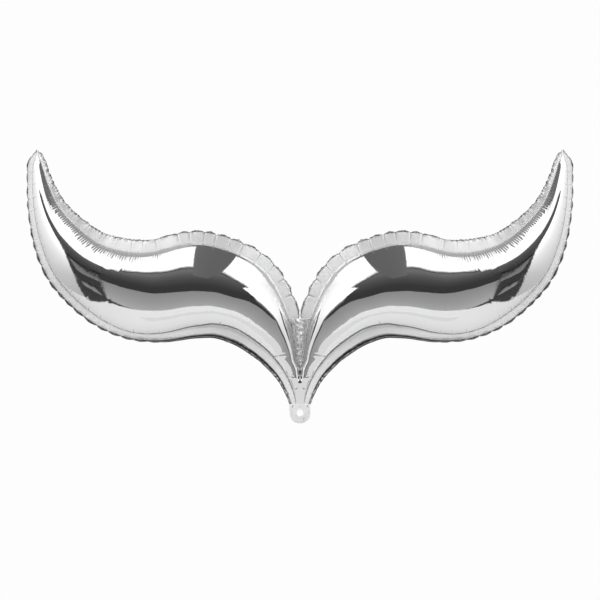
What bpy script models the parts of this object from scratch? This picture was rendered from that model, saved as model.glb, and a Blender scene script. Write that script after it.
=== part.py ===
# Mermaid tail balloon: a two-ply foil fluke, filled with air or gas.
# Metres, +Z up. The balloon lies in the XZ plane with its front towards -Y.
# The origin is the centre of the hole in the tail tab, where a ribbon holds the balloon.

import math

import bpy
import bmesh
from mathutils import Vector

MM = 0.001

# Film and seal, with the thin foil given a wall that can be built
FILM_WALL = 1.0 * MM
SEAL_WALL = 1.0 * MM
GAP = 0.3 * MM
RIM_DEPTH = SEAL_WALL / 2 + GAP
ROUNDNESS = 0.96
SEAM_TUCK = 2.0 * MM
SEAM_FLAT = 0.6 * MM
WALL_SHARE = 0.45           # a wall takes no more than this share of a thin section

# Where the two chambers are welded to each other, and where they join below
NOTCH_Z = 104.0 * MM
WELD_END_Z = 46.0 * MM
WELD_FOOT_Z = 40.0 * MM
WELD_SHOULDER = 0.2 * MM    # how much wider the weld is at its top
SADDLE = 4.0 * MM           # how far the films stand apart on the centre line below the weld
SADDLE_START = 0.35         # share of that at the weld
SADDLE_REACH = 14.0 * MM
SADDLE_CLOSING = 12.0 * MM
SADDLE_INSIDE = 0.5         # least share of it on the inside of the film
NECK_END_Z = 10.5 * MM
NECK_END_DEPTH = 0.5 * MM

# The tail tab and its hole
TAB_RADIUS = 11.5 * MM
TAB_TOP_Z = 9.5 * MM
TAB_HOLE_RADIUS = 3.75 * MM
TAB_WALL = 1.2 * MM
TONGUE_HALF_WIDTH = 4.2 * MM
TONGUE_TOP_Z = 12.5 * MM
TONGUE_WALL = 0.9 * MM
TONGUE_ROOT = 0.6 * MM

# Mesh density
STEPS_PER_SECTION = 2
STEPS_ROUND_SECTION = 12
SEAL_STEP = 4.25 * MM
SEAM_STEPS_PER_SECTION = 4
TAB_ROUND_STEPS = 24
TAB_TOP_STEPS = 6
SLACK = 0.1 * MM
MERGE_WITHIN = 0.05 * MM
SHARP_FROM_DEGREES = 35

# Sections of one chamber from its tip to the neck, in mm:
# (upper seam x, upper seam z, lower seam x, lower seam z)
SECTIONS = (
    (288.5, 283.5, 289.5, 283.5),
    (286.0, 279.5, 292.5, 278.5),
    (282.0, 267.0, 294.5, 264.0),
    (276.5, 250.5, 294.5, 245.5),
    (269.0, 233.0, 292.5, 220.0),
    (257.5, 217.0, 287.5, 194.0),
    (242.0, 201.5, 279.5, 169.5),
    (224.0, 188.0, 267.5, 147.0),
    (207.0, 181.0, 246.5, 124.0),
    (188.0, 177.0, 215.5, 100.5),
    (168.5, 176.5, 179.5, 87.0),
    (150.5, 180.0, 144.0, 88.0),
    (127.5, 186.0, 121.0, 93.0),
    (104.5, 186.5, 106.0, 94.5),
    (83.5, 181.5, 98.0, 95.5),
    (64.0, 174.0, 89.5, 95.0),
    (46.0, 163.5, 81.0, 93.5),
    (32.0, 149.0, 70.5, 90.0),
    (20.5, 129.0, 56.5, 82.0),
    (11.5, 104.0, 39.0, 69.0),
    (5.5, 72.5, 29.5, 59.5),
    (3.0, 51.0, 18.5, 45.5),
    (0.0, 33.0, 11.0, 30.5),
    (0.0, 14.0, 5.5, 13.0),
    (0.0, 10.5, 5.2, 10.5),
)

# The sealed border along each seam:
# (share of the seam from the tip, width mm, scallop height mm, ruffle mm, lean to the back in degrees)
UPPER_BORDER = (
    (0.00, 6.0, 1.5, 0.5, 0.0),
    (0.05, 5.5, 0.8, 0.5, 0.0),
    (0.12, 8.0, 0.8, 0.5, 0.0),
    (0.25, 12.0, 0.6, 0.6, 0.0),
    (0.42, 15.5, 0.2, 0.3, 0.0),
    (0.52, 13.0, 1.2, 1.5, 0.0),
    (0.75, 13.5, 1.6, 2.0, 0.0),
    (1.00, 12.0, 1.6, 1.0, 0.0),
)
LOWER_BORDER = (
    (0.00, 6.0, 1.5, 0.5, 30.0),
    (0.08, 8.0, 1.6, 1.0, 50.0),
    (0.15, 10.5, 1.8, 1.2, 50.0),
    (0.22, 13.0, 1.8, 1.5, 50.0),
    (0.30, 13.5, 1.8, 1.5, 46.0),
    (0.43, 13.5, 1.8, 1.5, 44.0),
    (0.50, 13.0, 1.4, 1.0, 56.0),
    (0.56, 12.5, 0.8, 0.6, 62.0),
    (0.62, 12.0, 0.4, 0.3, 50.0),
    (0.69, 12.0, 0.2, 0.3, 22.0),
    (0.76, 15.5, 0.2, 0.3, 5.0),
    (0.88, 13.0, 0.2, 0.3, 0.0),
    (1.00, 7.0, 0.6, 0.3, 0.0),
)
SCALLOP_PITCH = 17.0 * MM
SCALLOP_BASE = 0.6          # share of a scallop that lies inside the width of the border
RUFFLE_PITCH = 2.3 * SCALLOP_PITCH
END_BLEND_STEPS = 3
# How the border is tucked between the films: share of the tuck at its ends, and steps to the whole
TUCK_START, TUCK_START_STEPS = 0.12, 8
TUCK_END, TUCK_END_STEPS = 0.15, 3


def clear_scene():
    for obj in list(bpy.data.objects):
        bpy.data.objects.remove(obj, do_unlink=True)


def make_material(name, color, roughness, metallic):
    material = bpy.data.materials.new(name)
    material.use_nodes = True
    shader = material.node_tree.nodes["Principled BSDF"]
    shader.inputs["Base Color"].default_value = (*color, 1.0)
    shader.inputs["Roughness"].default_value = roughness
    shader.inputs["Metallic"].default_value = metallic
    return material


def make_object(name, mesh, material):
    obj = bpy.data.objects.new(name, mesh)
    bpy.context.scene.collection.objects.link(obj)
    mesh.materials.append(material)
    mesh.shade_smooth()
    mesh.set_sharp_from_angle(angle=math.radians(SHARP_FROM_DEGREES))
    return obj


def mesh_from(name, points, faces):
    mesh = bpy.data.meshes.new(name)
    mesh.from_pydata([tuple(p) for p in points], [], faces)
    mesh.validate()
    work = bmesh.new()
    work.from_mesh(mesh)
    bmesh.ops.recalc_face_normals(work, faces=work.faces)
    work.to_mesh(mesh)
    work.free()
    return mesh


def between(table, share):
    """The row of a table at a share of the way, on straight lines between its rows."""
    for low, high in zip(table, table[1:]):
        if share <= high[0]:
            part = (share - low[0]) / (high[0] - low[0])
            return [a + part * (b - a) for a, b in zip(low[1:], high[1:])]
    return list(table[-1][1:])


def through(rows, steps):
    """Rows on a smooth curve through the given rows, with so many steps between two of them."""
    found = []
    last = len(rows) - 1
    for i in range(last):
        before, start = rows[max(i - 1, 0)], rows[i]
        end, after = rows[i + 1], rows[min(i + 2, last)]
        for k in range(steps):
            t = k / steps
            found.append([
                0.5 * (2 * b + (c - a) * t + (2 * a - 5 * b + 4 * c - d) * t * t
                       + (3 * b - a - 3 * c + d) * t * t * t)
                for a, b, c, d in zip(before, start, end, after)
            ])
    found.append(list(rows[last]))
    return found


def seam_points(side, steps):
    """The upper or the lower seam of the left chamber, as points in the XZ plane."""
    first = 0 if side == "upper" else 2
    return [Vector((-row[first] * MM, 0.0, row[first + 1] * MM)) for row in through(SECTIONS, steps)]


def even_steps(points, step):
    """Points at even steps along a run of points, each with its share of the way and the length so far."""
    lengths = [0.0]
    for a, b in zip(points, points[1:]):
        lengths.append(lengths[-1] + (b - a).length)
    count = max(2, round(lengths[-1] / step))
    found = []
    at = 0
    for k in range(count + 1):
        run = lengths[-1] * k / count
        while at < len(points) - 2 and lengths[at + 1] < run:
            at += 1
        span = lengths[at + 1] - lengths[at]
        part = min(1.0, (run - lengths[at]) / span)
        found.append((points[at].lerp(points[at + 1], part), run / lengths[-1], run))
    return found


def film_rows():
    """For each section of the left chamber: outer and inner seam ends, depth, saddle, and whether it is open."""
    rows = []
    for upper_x, upper_z, lower_x, lower_z in through(SECTIONS, STEPS_PER_SECTION):
        is_open = upper_z * MM < WELD_END_Z
        upper = Vector((0.0 if is_open else -upper_x * MM, 0.0, upper_z * MM))
        lower = Vector((-lower_x * MM, 0.0, lower_z * MM))
        across = lower - upper
        half = across.length / 2
        wall = min(FILM_WALL, WALL_SHARE * half)
        inset = across.normalized() * wall
        saddle = 0.0
        if is_open:
            saddle = SADDLE * min(1.0, SADDLE_START + (WELD_END_Z - upper.z) / SADDLE_REACH)
            closing = (upper.z - NECK_END_Z) / SADDLE_CLOSING
            saddle = min(saddle, NECK_END_DEPTH + half * max(0.0, closing))
        depth = ROUNDNESS * half - saddle / 2
        if upper.z < NECK_END_Z + SLACK:
            depth = NECK_END_DEPTH
        inner_upper = upper if is_open else upper + inset
        rows.append((upper, lower, inner_upper, lower - inset, depth, saddle, wall, is_open))
    return rows


def arc_point(upper, lower, depth, saddle, angle, facing):
    middle, across = (upper + lower) / 2, (upper - lower) / 2
    point = middle + across * math.cos(angle)
    point.y = facing * (RIM_DEPTH + depth * math.sin(angle) + saddle * (1 + math.cos(angle)) / 2)
    return point


def make_film(name, facing, material):
    """One whole sheet of film, front (facing -1) or back (facing +1), mirrored about the centre line."""
    rows = film_rows()
    across = STEPS_ROUND_SECTION
    outer, inner = [], []
    for upper, lower, inner_upper, inner_lower, depth, saddle, wall, _ in rows:
        thin = min(wall, WALL_SHARE * depth)
        inner_saddle = max(saddle - thin, saddle * SADDLE_INSIDE)
        for k in range(across + 1):
            angle = math.pi * k / across
            outer.append(arc_point(upper, lower, depth, saddle, angle, facing))
            inner.append(arc_point(inner_upper, inner_lower, depth - thin, inner_saddle, angle, facing))
    points = outer + inner
    below = len(outer)
    width = across + 1
    faces = []
    for i in range(len(rows) - 1):
        for k in range(across):
            a, b = i * width + k, (i + 1) * width + k
            faces.append((a, a + 1, b + 1, b))
            faces.append((below + a, below + b, below + b + 1, below + a + 1))
        low, low_next = i * width + across, (i + 1) * width + across
        faces.append((low, below + low, below + low_next, low_next))
        if not (rows[i][-1] and rows[i + 1][-1]):
            high, high_next = i * width, (i + 1) * width
            faces.append((high, high_next, below + high_next, below + high))
    for i in (0, len(rows) - 1):
        for k in range(across):
            a = i * width + k
            faces.append((a, a + 1, below + a + 1, below + a))
    obj = make_object(name, mesh_from(name, points, faces), material)
    mirror = obj.modifiers.new("other_chamber", "MIRROR")
    mirror.use_axis = (True, False, False)
    mirror.use_mirror_merge = True
    mirror.merge_threshold = MERGE_WITHIN
    return obj


def outward_at(runs, i, turn):
    before, after = runs[max(i - 1, 0)][0], runs[min(i + 1, len(runs) - 1)][0]
    tangent = (after - before).normalized()
    return Vector((-tangent.z * turn, 0.0, tangent.x * turn))


def make_border(name, points, table, turn, start_way, end_way, mirrored, material):
    """A strip of sealed border along a seam: tucked between the films inside, scalloped outside."""
    runs = even_steps(points, SEAL_STEP)
    half_wall = SEAL_WALL / 2
    columns = 3
    rings = []
    for i, (seam, share, run) in enumerate(runs):
        width, scallop, ruffle, lean = between(table, share)
        out = outward_at(runs, i, turn)
        left = len(runs) - 1 - i
        blend_start = max(0.0, 1 - i / END_BLEND_STEPS)
        blend_end = max(0.0, 1 - left / END_BLEND_STEPS)
        out = out.lerp(start_way, blend_start).lerp(end_way, blend_end).normalized()
        lean = math.radians(lean) * (1 - blend_end)
        wave = abs(math.sin(math.pi * run / SCALLOP_PITCH))
        reach = (width + scallop * (wave - SCALLOP_BASE)) * MM
        sway = ruffle * MM * math.sin(2 * math.pi * run / RUFFLE_PITCH)
        tuck = SEAM_TUCK * min(1.0, TUCK_START + i / TUCK_START_STEPS, TUCK_END + left / TUCK_END_STEPS)
        profile = (
            (-tuck, 0.0),
            (SEAM_FLAT, 0.0),
            (SEAM_FLAT + (reach - SEAM_FLAT) * math.cos(lean), reach * math.sin(lean) + sway),
        )
        tilt = math.atan2(profile[2][1], profile[2][0] - SEAM_FLAT)
        normals = ((0.0, 1.0), (-math.sin(tilt / 2), math.cos(tilt / 2)), (-math.sin(tilt), math.cos(tilt)))
        ring = []
        for sign in (-1, 1):
            for (distance, depth), (nx, ny) in zip(profile, normals):
                point = seam + out * (distance + sign * half_wall * nx)
                point.y = depth + sign * half_wall * ny
                point.x = min(point.x, -GAP / 2)
                ring.append(point)
        rings.append(ring[:columns] + ring[columns:][::-1])
    size = 2 * columns
    all_points = [p for ring in rings for p in ring]
    faces = []
    for i in range(len(rings) - 1):
        for k in range(size):
            a, b = i * size + k, i * size + (k + 1) % size
            faces.append((a, b, b + size, a + size))
    faces.append(tuple(range(size)))
    faces.append(tuple(len(all_points) - size + k for k in range(size)))
    if mirrored:
        for point in all_points:
            point.x = -point.x
    return make_object(name, mesh_from(name, all_points, faces), material)


def make_weld(material):
    """The flat weld between the two chambers, tucked between the film rims on both sides."""
    top, bottom = NOTCH_Z - GAP, WELD_FOOT_Z
    upper = [p for p in seam_points("upper", SEAM_STEPS_PER_SECTION) if bottom < p.z < top]
    rows = [(-p.x + SEAM_TUCK, p.z) for p in upper]
    rows = [(rows[0][0] + WELD_SHOULDER, top)] + rows + [(rows[-1][0], bottom)]
    points, faces = [], []
    for half_width, z in rows:
        for x, y in ((-1, -1), (1, -1), (1, 1), (-1, 1)):
            points.append((x * half_width, y * SEAL_WALL / 2, z))
    for i in range(len(rows) - 1):
        for k in range(4):
            a, b = i * 4 + k, i * 4 + (k + 1) % 4
            faces.append((a, b, b + 4, a + 4))
    faces.append((0, 1, 2, 3))
    faces.append(tuple(len(points) - 4 + k for k in range(4)))
    return make_object("centre_weld", mesh_from("centre_weld", points, faces), material)


def make_tab(material):
    """The round tail tab with its punched hole, and a thinner tongue that runs up between the films."""
    corners = [(TAB_RADIUS, TAB_TOP_Z)]
    for k in range(TAB_ROUND_STEPS + 1):
        angle = -math.pi * k / TAB_ROUND_STEPS
        corners.append((TAB_RADIUS * math.cos(angle), TAB_RADIUS * math.sin(angle)))
    corners.append((-TAB_RADIUS, TAB_TOP_Z))
    for k in range(1, TAB_TOP_STEPS):
        corners.append((TAB_RADIUS * (2 * k / TAB_TOP_STEPS - 1), TAB_TOP_Z))
    points, faces = [], []
    for x, z in corners:
        angle = math.atan2(z, x)
        hole = (TAB_HOLE_RADIUS * math.cos(angle), TAB_HOLE_RADIUS * math.sin(angle))
        for y in (-TAB_WALL / 2, TAB_WALL / 2):
            points.append((x, y, z))
            points.append((hole[0], y, hole[1]))
    count = len(corners)
    for i in range(count):
        a, b = 4 * i, 4 * ((i + 1) % count)
        faces.append((a, a + 1, b + 1, b))
        faces.append((a + 2, b + 2, b + 3, a + 3))
        faces.append((a, b, b + 2, a + 2))
        faces.append((a + 1, a + 3, b + 3, b + 1))
    tab = make_object("tail_tab", mesh_from("tail_tab", points, faces), material)

    tongue_height = TONGUE_TOP_Z - TAB_TOP_Z + TONGUE_ROOT
    bpy.ops.mesh.primitive_cube_add(size=1, location=(0, 0, TONGUE_TOP_Z - tongue_height / 2))
    tongue = bpy.context.object
    tongue.name = "tongue_shape"
    tongue.scale = (2 * TONGUE_HALF_WIDTH, TONGUE_WALL, tongue_height)
    tongue.hide_render = True
    tongue.display_type = "WIRE"
    join = tab.modifiers.new("tongue", "BOOLEAN")
    join.operation = "UNION"
    join.solver = "EXACT"
    join.object = tongue
    return tab


def main():
    clear_scene()
    film = make_material("silver_film", (0.86, 0.86, 0.87), 0.06, 1.0)
    seal = make_material("sealed_border", (0.80, 0.80, 0.81), 0.28, 1.0)
    tab = make_material("tab_laminate", (0.80, 0.80, 0.81), 0.32, 1.0)

    make_film("front_film", -1, film)
    make_film("back_film", 1, film)

    up, inward, outward = Vector((0, 0, 1)), Vector((1, 0, 0)), Vector((-1, 0, 0))
    upper = [p for p in seam_points("upper", SEAM_STEPS_PER_SECTION) if p.z > NOTCH_Z - SLACK]
    lower = [p for p in seam_points("lower", SEAM_STEPS_PER_SECTION) if p.z > TAB_TOP_Z + GAP]
    for side, mirrored in (("left", False), ("right", True)):
        make_border(side + "_upper_seal", upper, UPPER_BORDER, 1, up, inward, mirrored, seal)
        make_border(side + "_lower_seal", lower, LOWER_BORDER, -1, up, outward, mirrored, seal)

    make_weld(seal)
    make_tab(tab)


main()
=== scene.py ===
# Mermaid tail foil balloon: the foil, its sealed border, the weld and the tail tab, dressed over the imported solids.
# Metres, +Z up, front towards -Y, origin at the tab's hole. Sizes in the dictionaries are in millimetres.
import math

import bmesh
import bpy
import numpy as np
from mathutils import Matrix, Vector


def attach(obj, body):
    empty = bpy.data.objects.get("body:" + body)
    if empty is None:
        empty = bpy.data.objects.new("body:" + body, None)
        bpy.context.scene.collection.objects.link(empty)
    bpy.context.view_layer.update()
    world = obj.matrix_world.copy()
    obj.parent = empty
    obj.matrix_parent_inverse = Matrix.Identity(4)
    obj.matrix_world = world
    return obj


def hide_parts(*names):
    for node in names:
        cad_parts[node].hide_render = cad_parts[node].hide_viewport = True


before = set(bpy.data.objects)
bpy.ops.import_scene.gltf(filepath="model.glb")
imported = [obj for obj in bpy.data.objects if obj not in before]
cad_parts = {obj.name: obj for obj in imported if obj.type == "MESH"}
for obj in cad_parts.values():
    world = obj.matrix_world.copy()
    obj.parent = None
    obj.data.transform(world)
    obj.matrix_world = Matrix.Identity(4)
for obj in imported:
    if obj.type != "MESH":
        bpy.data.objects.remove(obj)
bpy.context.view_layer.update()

mm = 0.001


# Formulas: a socket that answers to arithmetic, in a shader or a geometry tree

class Field:
    def __init__(self, tree, socket):
        self.tree = tree
        self.socket = socket

    def math(self, operation, *others):
        node = addNode(self.tree, "ShaderNodeMath", operation=operation)
        for place, value in enumerate((self,) + others):
            feed(self.tree, node.inputs[place], value)
        return Field(self.tree, node.outputs[0])

    def __add__(self, other):
        return self.math("ADD", other)

    def __sub__(self, other):
        return self.math("SUBTRACT", other)

    def __rsub__(self, other):
        return self.math("MULTIPLY_ADD", -1.0, other)

    def __mul__(self, other):
        return self.math("MULTIPLY", other)

    def __truediv__(self, other):
        return self.math("DIVIDE", other)

    def __pow__(self, other):
        return self.math("POWER", other)

    __radd__ = __add__
    __rmul__ = __mul__


def feed(tree, socket, value):
    if isinstance(value, Field):
        tree.links.new(value.socket, socket)
    else:
        socket.default_value = value


def addNode(tree, kind, feeds=None, **settings):
    node = tree.nodes.new(kind)
    for key, value in settings.items():
        setattr(node, key, value)
    for key, value in (feeds or {}).items():
        feed(tree, node.inputs[key], value)
    return node


def rise(field, low, high):
    # 0 below low, 1 above high, and a soft step between; low may be the larger of the two
    feeds = {0: field, 1: low, 2: high}
    return Field(field.tree, addNode(field.tree, "ShaderNodeMapRange", feeds, interpolation_type="SMOOTHSTEP").outputs[0])


def noise(tree, where, scale, detail=2.0, roughness=0.5):
    # from -1 to 1
    node = addNode(tree, "ShaderNodeTexNoise",
                   {"Vector": where, "Scale": scale, "Detail": detail, "Roughness": roughness})
    return Field(tree, node.outputs[0]) * 2.0 - 1.0


def chance(tree, cell, seed):
    # an even random number from 0 to 1 for each whole number
    node = addNode(tree, "ShaderNodeTexWhiteNoise", {"W": cell + seed}, noise_dimensions="1D")
    return Field(tree, node.outputs[0])


def vector(tree, x, y, z):
    node = addNode(tree, "ShaderNodeCombineXYZ", {0: x, 1: y, 2: z})
    return Field(tree, node.outputs[0])


def scaled(direction, size):
    node = addNode(direction.tree, "ShaderNodeVectorMath", {0: direction, "Scale": size}, operation="SCALE")
    return Field(direction.tree, node.outputs[0])


def summed(first, second):
    node = addNode(first.tree, "ShaderNodeVectorMath", {0: first, 1: second}, operation="ADD")
    return Field(first.tree, node.outputs[0])


# Geometry trees

def newTree(name, sizes):
    tree = bpy.data.node_groups.new(name, "GeometryNodeTree")
    tree.is_modifier = True
    tree.interface.new_socket("Geometry", in_out="INPUT", socket_type="NodeSocketGeometry")
    for title in sizes:
        tree.interface.new_socket(title, in_out="INPUT", socket_type="NodeSocketFloat")
    tree.interface.new_socket("Finish", in_out="INPUT", socket_type="NodeSocketMaterial")
    tree.interface.new_socket("Geometry", in_out="OUTPUT", socket_type="NodeSocketGeometry")
    entry = addNode(tree, "NodeGroupInput")
    return tree, {socket.name: Field(tree, socket) for socket in entry.outputs if socket.name}


def endTree(tree, given, geometry):
    whole = addNode(tree, "GeometryNodeRealizeInstances", {"Geometry": geometry})
    dressed = addNode(tree, "GeometryNodeSetMaterial",
                      {"Geometry": Field(tree, whole.outputs[0]), "Material": given["Finish"]})
    leave = addNode(tree, "NodeGroupOutput")
    tree.links.new(dressed.outputs[0], leave.inputs[0])


def measure(tree, name, kind="FLOAT"):
    node = addNode(tree, "GeometryNodeInputNamedAttribute", {"Name": name}, data_type=kind)
    return Field(tree, node.outputs[0])


def shapeWith(obj, tree, values):
    modifier = obj.modifiers.new(tree.name, "NODES")
    modifier.node_group = tree
    for item in tree.interface.items_tree:
        if item.item_type == "SOCKET" and item.in_out == "INPUT" and item.name in values:
            modifier[item.identifier] = values[item.name]


def settle(obj, sharp=50.0):
    # the result of the modifiers becomes the piece's plain mesh, with its faces turned outwards
    graph = bpy.context.evaluated_depsgraph_get()
    mesh = bpy.data.meshes.new_from_object(obj.evaluated_get(graph))
    obj.modifiers.clear()
    raw, obj.data = obj.data, mesh
    bpy.data.meshes.remove(raw)
    work = bmesh.new()
    work.from_mesh(mesh)
    bmesh.ops.remove_doubles(work, verts=work.verts, dist=0.000005)
    bmesh.ops.recalc_face_normals(work, faces=work.faces)
    work.to_mesh(mesh)
    work.free()
    mesh.shade_smooth()
    mesh.set_sharp_from_angle(angle=math.radians(sharp))
    return obj


def newPiece(name, points, faces, measures):
    mesh = bpy.data.meshes.new(name)
    mesh.from_pydata(np.asarray(points).tolist(), [], faces)
    for title, values in measures.items():
        values = np.asarray(values, dtype=np.float32)
        if values.ndim == 2:
            mesh.attributes.new(title, "FLOAT_VECTOR", "POINT").data.foreach_set("vector", values.ravel())
        else:
            mesh.attributes.new(title, "FLOAT", "POINT").data.foreach_set("value", values)
    obj = bpy.data.objects.new(name, mesh)
    bpy.context.scene.collection.objects.link(obj)
    return obj


def placed(obj, node):
    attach(obj, "root")
    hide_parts(node)


# Curves

def splineThrough(knots, rows, where):
    # a curve of even bend through the rows, read at where
    count = len(knots)
    step = np.diff(knots)
    system = np.eye(count)
    right = np.zeros_like(rows)
    for i in range(1, count - 1):
        system[i, i - 1:i + 2] = step[i - 1], 2 * (step[i - 1] + step[i]), step[i]
        right[i] = 6 * ((rows[i + 1] - rows[i]) / step[i] - (rows[i] - rows[i - 1]) / step[i - 1])
    bend = np.linalg.solve(system, right)
    at = np.clip(np.searchsorted(knots, where) - 1, 0, count - 2)
    width = step[at][:, None]
    after = (np.asarray(where) - knots[at])[:, None]
    before = width - after
    return ((bend[at] * before ** 3 + bend[at + 1] * after ** 3) / (6 * width)
            + (rows[at] / width - bend[at] * width / 6) * before
            + (rows[at + 1] / width - bend[at + 1] * width / 6) * after)


def evened(values, spread):
    # each column blurred along the rows, with the two ends held where they are
    reach = 4 * spread
    weights = np.exp(-0.5 * (np.arange(-reach, reach + 1) / spread) ** 2)
    weights /= weights.sum()
    head = 2 * values[0] - values[reach:0:-1]
    tail = 2 * values[-1] - values[-2:-reach - 2:-1]
    padded = np.concatenate([head, values, tail])
    return np.stack([np.convolve(column, weights, "valid") for column in padded.T], axis=1)


def runOf(points):
    return np.concatenate([[0.0], np.cumsum(np.linalg.norm(np.diff(points, axis=0), axis=1))])


def softStep(values, low, high):
    part = np.clip((values - low) / (high - low), 0.0, 1.0)
    return part * part * (3 - 2 * part)


# The chamber that both plies are blown into

chamber = dict(
    # from the tip to the neck: upper seam x, z and lower seam x, z of the left half, x counted outwards
    sections=(
        (288.5, 283.5, 289.5, 283.5), (286.0, 279.5, 292.5, 278.5), (282.0, 267.0, 294.5, 264.0),
        (276.5, 250.5, 294.5, 245.5), (269.0, 233.0, 292.5, 220.0), (257.5, 217.0, 287.5, 194.0),
        (242.0, 201.5, 279.5, 169.5), (224.0, 188.0, 267.5, 147.0), (207.0, 181.0, 246.5, 124.0),
        (188.0, 177.0, 215.5, 100.5), (168.5, 176.5, 179.5, 87.0), (150.5, 180.0, 144.0, 88.0),
        (127.5, 186.0, 121.0, 93.0), (104.5, 186.5, 106.0, 94.5), (83.5, 181.5, 98.0, 95.5),
        (64.0, 174.0, 89.5, 95.0), (46.0, 163.5, 81.0, 93.5), (32.0, 149.0, 70.5, 90.0),
        (20.5, 129.0, 56.5, 82.0), (11.5, 104.0, 39.0, 69.0), (5.5, 72.5, 29.5, 59.5),
        (3.0, 51.0, 18.5, 45.5), (0.0, 33.0, 11.0, 30.5), (0.0, 14.0, 5.5, 13.0), (0.0, 9.8, 5.2, 9.8),
    ),
    fineSteps=4000,
    evenSpread=36,              # fine steps over which the seams are evened, so that reflections run on
    roundness=0.96,
    # how far the ridge of a section leans towards the upper seam, by place along the chamber from tip to neck
    ridge=((0.0, 0.0), (0.20, 0.0), (0.26, 0.05), (0.30, 0.08), (0.345, 0.11), (0.39, 0.11), (0.435, 0.085),
           (0.485, 0.035), (0.525, 0.005), (0.56, -0.02), (0.63, -0.04), (0.69, -0.055), (0.74, -0.045),
           (0.77, -0.01), (0.805, 0.06), (0.845, 0.09), (0.88, 0.10), (0.93, 0.05), (1.0, 0.0)),
    # how full the chamber is blown there, as a share of the plain depth, by height
    fullness=((0.0, 1.0), (12.0, 1.0), (20.0, 1.25), (40.0, 1.25), (52.0, 1.12), (66.0, 1.0)),
    rim=0.2,                    # from the mid-plane to each ply at the seam
    wall=0.8,                   # how far the inner skin lies behind the outer one
    notchZ=104.0,
    joinZ=46.0,                 # below this the two halves of a ply are one sheet
    joinBlend=15.0,
    saddle=3.4,
    saddleReach=14.0,
    neckFlatZ=16.0,
    neckDepth=0.5,
)


def chamberCurves():
    rows = np.array(chamber["sections"])
    middle = (rows[:, :2] + rows[:, 2:]) / 2
    knots = runOf(middle)
    where = np.linspace(0.0, knots[-1], chamber["fineSteps"] + 1)
    fine = evened(splineThrough(knots, rows, where), chamber["evenSpread"])
    upper, lower = fine[:, :2].copy(), fine[:, 2:].copy()
    plainHalf = np.linalg.norm(upper - lower, axis=1) / 2
    joinZ = chamber["joinZ"]
    upper[:, 0] = np.maximum(upper[:, 0], 0.0) * softStep(upper[:, 1], joinZ, joinZ + chamber["joinBlend"])
    upper[:, 0] *= -1
    lower[:, 0] *= -1
    return upper, lower, plainHalf


upperSeam, lowerSeam, plainHalf = chamberCurves()
upperRun, lowerRun = runOf(upperSeam), runOf(lowerSeam)
print("chamber: upper seam %.0f mm, lower seam %.0f mm" % (upperRun[-1], lowerRun[-1]))


def runAtX(seam, run, places):
    # how far along a seam these x places are; x grows all along the upper seam
    return np.interp(places, seam[:, 0], run)


# Pleats: where the border folds, and the creases that run on from there into the foil.
# Each list holds the distances along the seam, from the tip, at which a fold lies.

pleats = dict(
    # x of the folds of the upper border: at the seam as far as the hollow, and at the outer edge over the hump
    seamX=(-287.6, -285.0, -281.0, -276.5, -271.5, -265.0, -257.0, -248.0, -238.4, -222.8, -207.1, -186.1, -172.4,
           -156.8),
    edgeX=(-135.0, -122.0, -105.0, -92.0, -75.5, -62.0, -42.6, -27.5, -16.5, -7.7),
    edgeAway=12.5,
    lowerPitch=(14.0, 13.5, 15.5, 13.0, 16.0, 15.0, 12.5, 15.5, 17.0, 14.5, 11.0, 12.5, 15.0, 16.5, 13.0),
)


def sideways(points, turn):
    # the way out of the seam, square to it
    tangent = np.gradient(points, axis=0)
    out = np.stack([-tangent[:, 1], tangent[:, 0]], axis=1) * turn
    return out / np.linalg.norm(out, axis=1)[:, None]


def foldRuns():
    edge = upperSeam + pleats["edgeAway"] * sideways(upperSeam, 1)
    seamPart = runAtX(upperSeam, upperRun, pleats["seamX"])
    edgePart = np.interp(pleats["edgeX"], np.maximum.accumulate(edge[:, 0]), upperRun)
    notch = np.interp(-chamber["notchZ"], -upperSeam[:, 1], upperRun)
    upper = np.concatenate([seamPart, edgePart[edgePart < notch - 4.0], [notch, notch + 14.0]])
    lower = [6.0]
    at = 0
    while lower[-1] < lowerRun[-1]:
        lower.append(lower[-1] + pleats["lowerPitch"][at % len(pleats["lowerPitch"])])
        at += 1
    return upper, np.array(lower)


upperFolds, lowerFolds = foldRuns()


def pleatPhase(run, folds):
    # whole numbers at the folds, so that the border and the foil fold at the same places
    ends = np.concatenate([[folds[0] - 14.0], folds, [folds[-1] + 14.0]])
    return np.interp(run, ends, np.arange(len(ends)))


# Foil: one sheet of film over both chambers

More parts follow.
